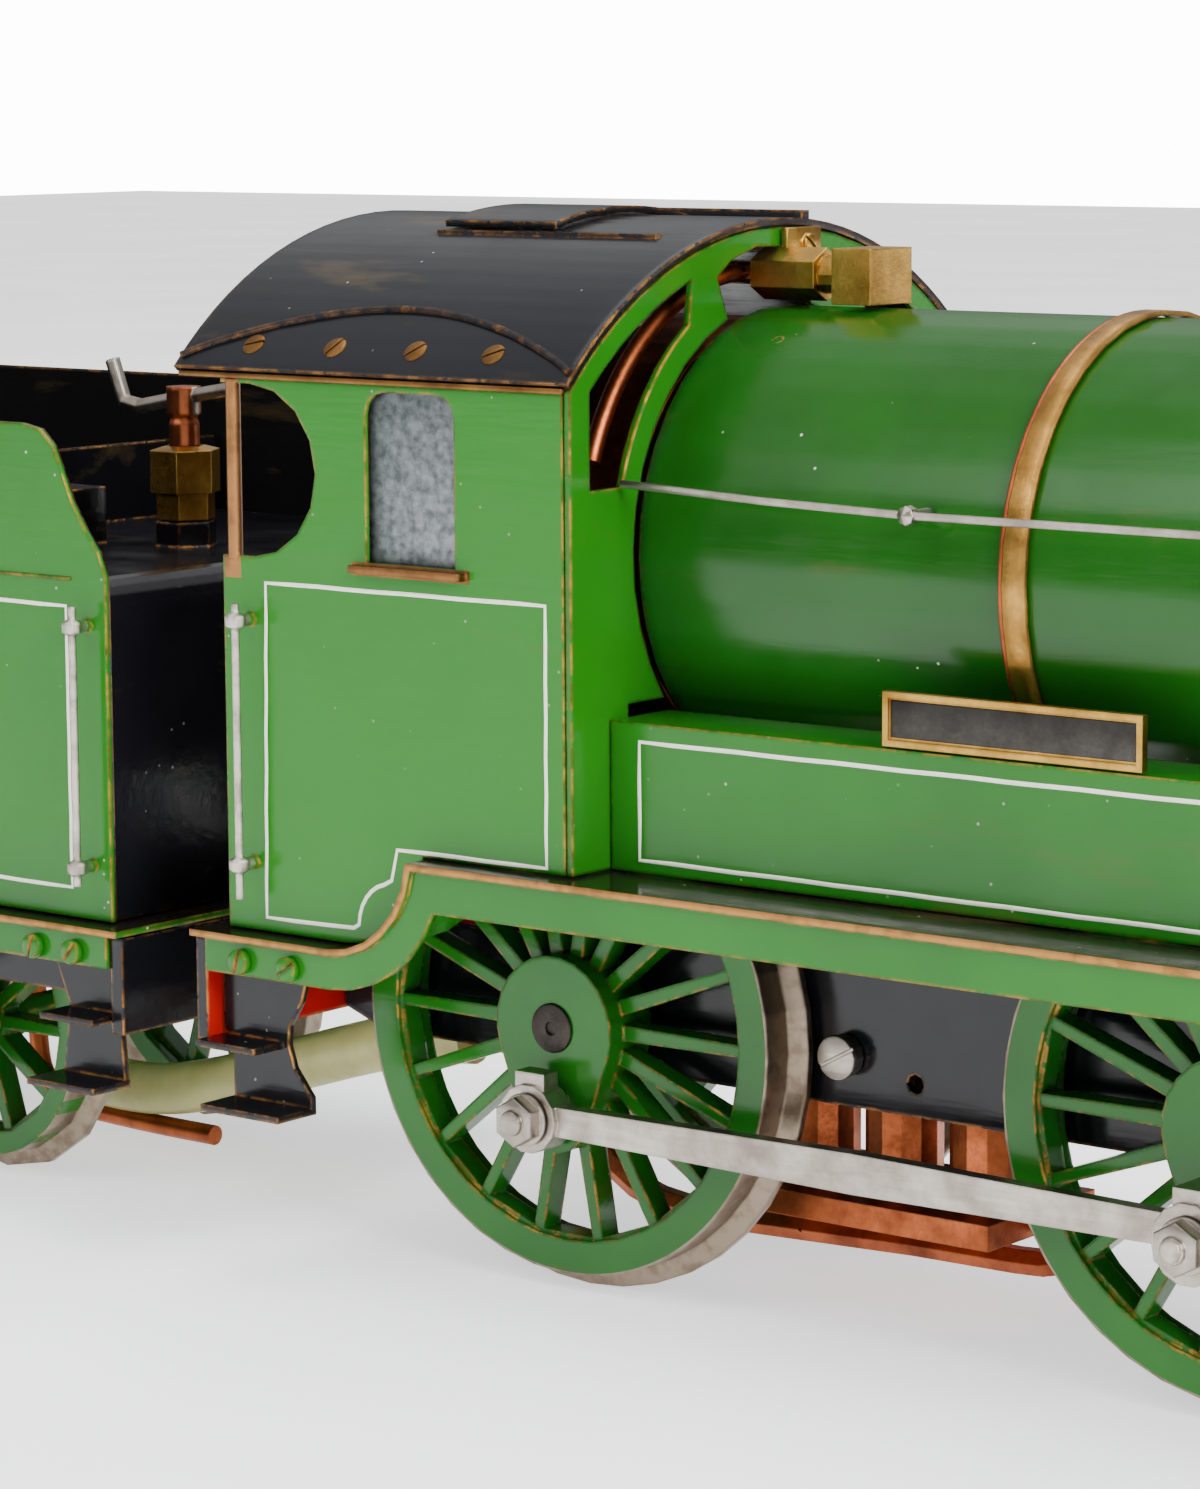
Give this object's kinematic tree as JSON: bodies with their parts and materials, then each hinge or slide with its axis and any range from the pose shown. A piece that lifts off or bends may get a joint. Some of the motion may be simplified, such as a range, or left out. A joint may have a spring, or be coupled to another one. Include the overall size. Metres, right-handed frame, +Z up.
{
  "type": "model steam locomotive",
  "caption": "Live-steam model tender locomotive with coupled driving wheels, a leading bogie, an open-backed cab, a spirit burner and a wheeled tender.",
  "frame": {"origin": "middle of the bounding box in X and Y, at the lowest point of the wheel flanges; the rail top is 2.5 mm above it", "axes": "+X forward, from the tender towards the smokebox; +Y to the engine's left; +Z up"},
  "size_m": [0.573, 0.1012, 0.1495],
  "materials": {
    "green": "gloss mid-green enamel, brushed on, with an off-white lining",
    "black": "gloss black enamel, worn to bare brass along the edges",
    "steel": "bright brushed steel",
    "iron": "dark oily steel and iron",
    "brass": "bare turned and cut brass, slightly tarnished",
    "copper": "bare reddish copper, heat-stained",
    "hose": "soft translucent pale yellow silicone hose"
  },
  "bodies": {
    "locomotive": {"main_frame_right": "black", "running_plate_right": "green", "splasher_right": "green", "nameplate_right": "brass", "boiler_handrail_right": "steel", "cab_side_right": "green", "cab_step_right": "black", "main_frame_left": "black", "running_plate_left": "green", "splasher_left": "green", "nameplate_left": "brass", "boiler_handrail_left": "steel", "cab_side_left": "green", "cab_step_left": "black", "frame_spacer": "iron", "drag_beam": "black", "front_buffer_beam": "black", "cylinder_saddle": "black", "boiler_barrel": "green", "boiler_backhead": "copper", "boiler_band": "brass", "smokebox": "black", "chimney": "black", "dome": "brass", "steam_union": "brass", "firebox": "iron", "spirit_burner": "copper", "spirit_pipe": "copper", "cab_front": "green", "cab_roof": "black", "cab_floor": "black"},
    "roof_hatch": {"roof_hatch": "black"},
    "smokebox_door": {"smokebox_door": "black"},
    "regulator": {"regulator_handle": "steel"},
    "rear_driving_wheels": {"rear_driving_wheel_right": "green", "rear_driving_wheel_left": "green", "rear_driving_axle": "iron"},
    "leading_driving_wheels": {"lead_driving_wheel_right": "green", "lead_driving_wheel_left": "green", "lead_driving_axle": "iron"},
    "coupling_rod_right": {"coupling_rod_right": "steel"},
    "coupling_rod_left": {"coupling_rod_left": "steel"},
    "bogie": {"bogie_frame": "black"},
    "bogie_front_wheels": {"bogie_wheelset_front": "green"},
    "bogie_rear_wheels": {"bogie_wheelset_rear": "green"},
    "tender": {"tender_tank": "black", "tender_side_right": "green", "tender_side_left": "green", "tender_footplate": "green", "tender_frame_right": "black", "tender_frame_left": "black", "tender_front_beam": "black", "tender_rear_beam": "black", "tender_valve_body": "brass", "spirit_hose": "hose"},
    "tender_valve": {"tender_valve_handle": "copper"},
    "filler_lid": {"filler_lid": "brass"},
    "tender_front_wheels": {"tender_wheelset_1": "green"},
    "tender_middle_wheels": {"tender_wheelset_2": "green"},
    "tender_rear_wheels": {"tender_wheelset_3": "green"}
  },
  "joints": [
    {"name": "rear_driving_spin", "type": "hinge", "parent": "locomotive", "child": "rear_driving_wheels", "pos_m": [0.0105, 0, 0.036], "axis": [0, 1, 0], "continuous": true},
    {"name": "leading_driving_spin", "type": "hinge", "parent": "locomotive", "child": "leading_driving_wheels", "pos_m": [0.1133, 0, 0.036], "axis": [0, 1, 0], "continuous": true},
    {"name": "coupling_rod_right_pin", "type": "hinge", "parent": "rear_driving_wheels", "child": "coupling_rod_right", "pos_m": [0.0105, -0.033, 0.0248], "axis": [0, 1, 0], "continuous": true},
    {"name": "coupling_rod_left_pin", "type": "hinge", "parent": "rear_driving_wheels", "child": "coupling_rod_left", "pos_m": [0.0217, 0.033, 0.036], "axis": [0, 1, 0], "continuous": true},
    {"name": "bogie_swivel", "type": "hinge", "parent": "locomotive", "child": "bogie", "pos_m": [0.2115, 0, 0.028], "axis": [0, 0, 1], "range_deg": [-5, 5]},
    {"name": "bogie_front_spin", "type": "hinge", "parent": "bogie", "child": "bogie_front_wheels", "pos_m": [0.244, 0, 0.0205], "axis": [0, 1, 0], "continuous": true},
    {"name": "bogie_rear_spin", "type": "hinge", "parent": "bogie", "child": "bogie_rear_wheels", "pos_m": [0.179, 0, 0.0205], "axis": [0, 1, 0], "continuous": true},
    {"name": "smokebox_door_hinge", "type": "hinge", "parent": "locomotive", "child": "smokebox_door", "pos_m": [0.242, 0.0295, 0.0992], "axis": [0, 0, 1], "range_deg": [0, 100]},
    {"name": "regulator_turn", "type": "hinge", "parent": "locomotive", "child": "regulator", "pos_m": [0.004, 0, 0.1107], "axis": [1, 0, 0], "range_deg": [0, 60]},
    {"name": "roof_hatch_slide", "type": "slide", "parent": "locomotive", "child": "roof_hatch", "axis": [1, 0, 0], "range_m": [0, 0.018]},
    {"name": "drawbar_swing", "type": "hinge", "parent": "locomotive", "child": "tender", "pos_m": [-0.0295, 0, 0.0378], "axis": [0, 0, 1], "range_deg": [-5, 5], "deforming": ["spirit_hose"]},
    {"name": "tender_valve_turn", "type": "hinge", "parent": "tender", "child": "tender_valve", "pos_m": [-0.0821, 0, 0.1], "axis": [0, 0, 1], "range_deg": [-150, 150]},
    {"name": "filler_lid_hinge", "type": "hinge", "parent": "tender", "child": "filler_lid", "pos_m": [-0.2593, 0, 0.1005], "axis": [0, -1, 0], "range_deg": [0, 105]},
    {"name": "tender_front_spin", "type": "hinge", "parent": "tender", "child": "tender_front_wheels", "pos_m": [-0.1005, 0, 0.023], "axis": [0, 1, 0], "continuous": true},
    {"name": "tender_middle_spin", "type": "hinge", "parent": "tender", "child": "tender_middle_wheels", "pos_m": [-0.1655, 0, 0.023], "axis": [0, 1, 0], "continuous": true},
    {"name": "tender_rear_spin", "type": "hinge", "parent": "tender", "child": "tender_rear_wheels", "pos_m": [-0.2305, 0, 0.023], "axis": [0, 1, 0], "continuous": true}
  ],
  "couplings": [
    {"joint": "leading_driving_spin", "follows": "rear_driving_spin", "ratio": 1},
    {"joint": "coupling_rod_right_pin", "follows": "rear_driving_spin", "ratio": -1},
    {"joint": "coupling_rod_left_pin", "follows": "rear_driving_spin", "ratio": -1}
  ]
}
